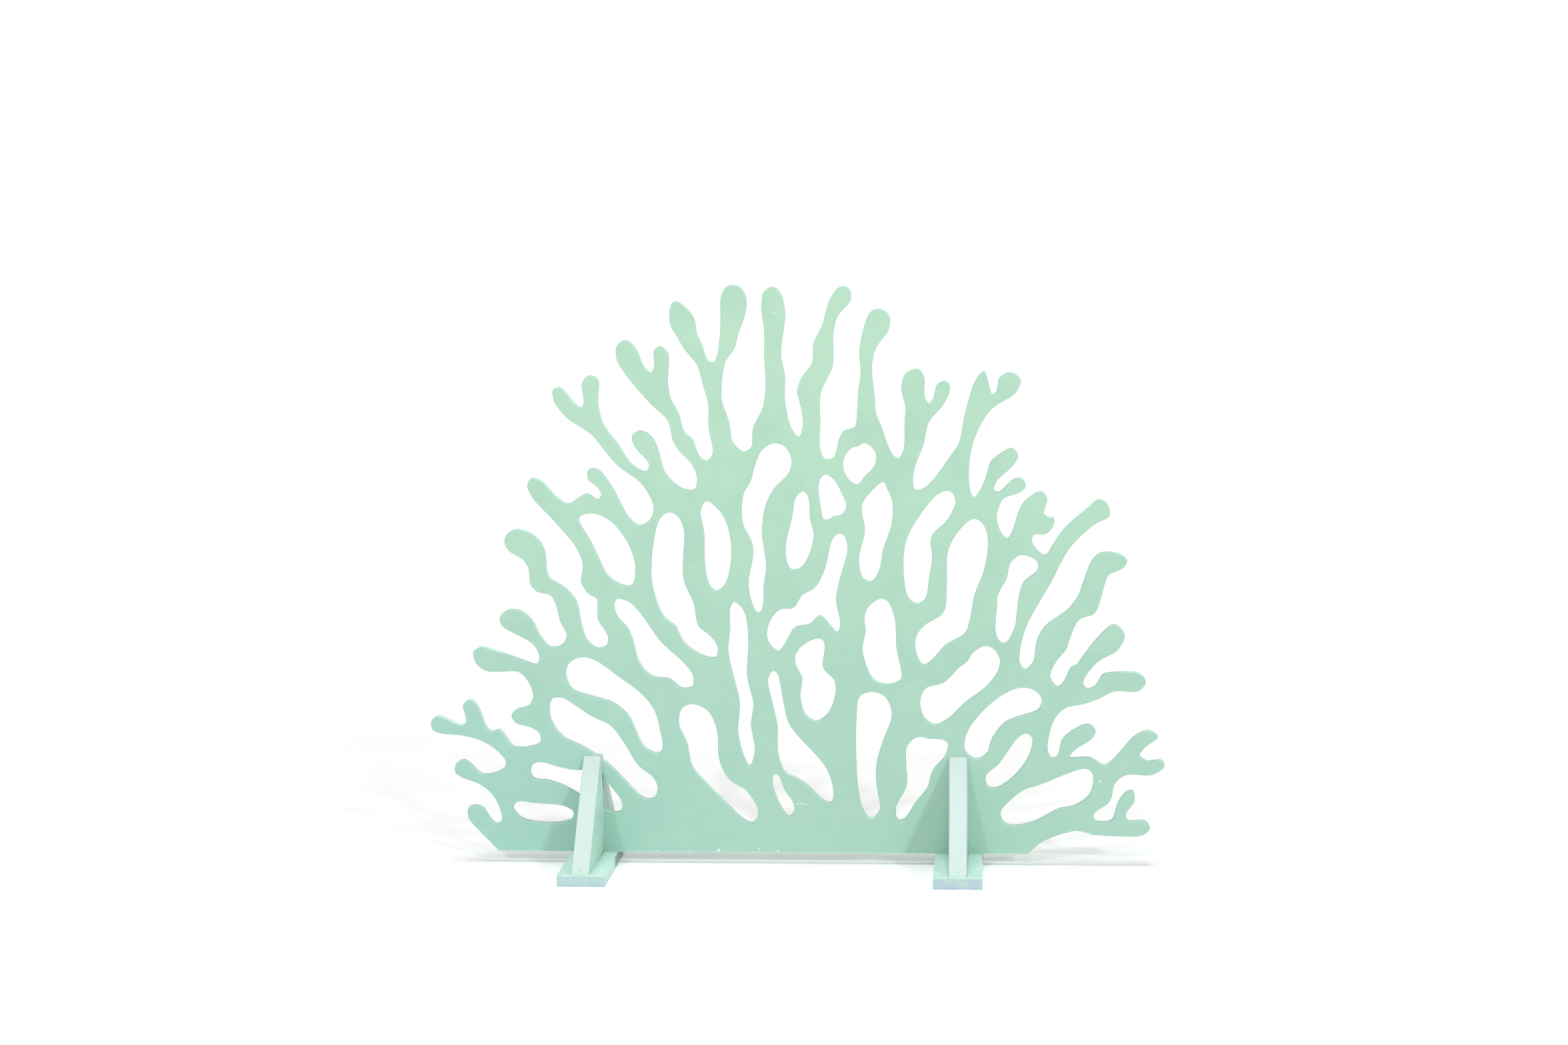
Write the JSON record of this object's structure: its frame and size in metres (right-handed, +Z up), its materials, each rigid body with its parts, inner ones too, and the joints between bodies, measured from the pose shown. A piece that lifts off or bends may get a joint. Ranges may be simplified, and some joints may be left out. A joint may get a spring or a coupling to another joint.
{
  "type": "sea fan cut-out panel",
  "caption": "Free-standing flat board sawn in the outline of a branching sea fan, held upright by slotted feet with triangular gussets.",
  "frame": {"origin": "on the floor, under the middle of the object's box", "axes": "+X along the board to the right as seen from the front, +Y towards the back, +Z up; the front of the board faces -Y"},
  "size_m": [1.5274, 0.376, 1.2069],
  "materials": {
    "board_paint": "satin pale mint enamel, rolled on sheet timber",
    "plate_paint": "satin pale mint enamel, scuffed at the ends",
    "gusset_paint": "satin pale mint enamel, brushed"
  },
  "bodies": {
    "root": {"coral_board": "board_paint", "foot_plate_left": "plate_paint", "foot_plate_right": "plate_paint", "front_gusset_left": "gusset_paint", "front_gusset_right": "gusset_paint", "rear_gusset_left": "gusset_paint", "rear_gusset_right": "gusset_paint"}
  },
  "joints": []
}
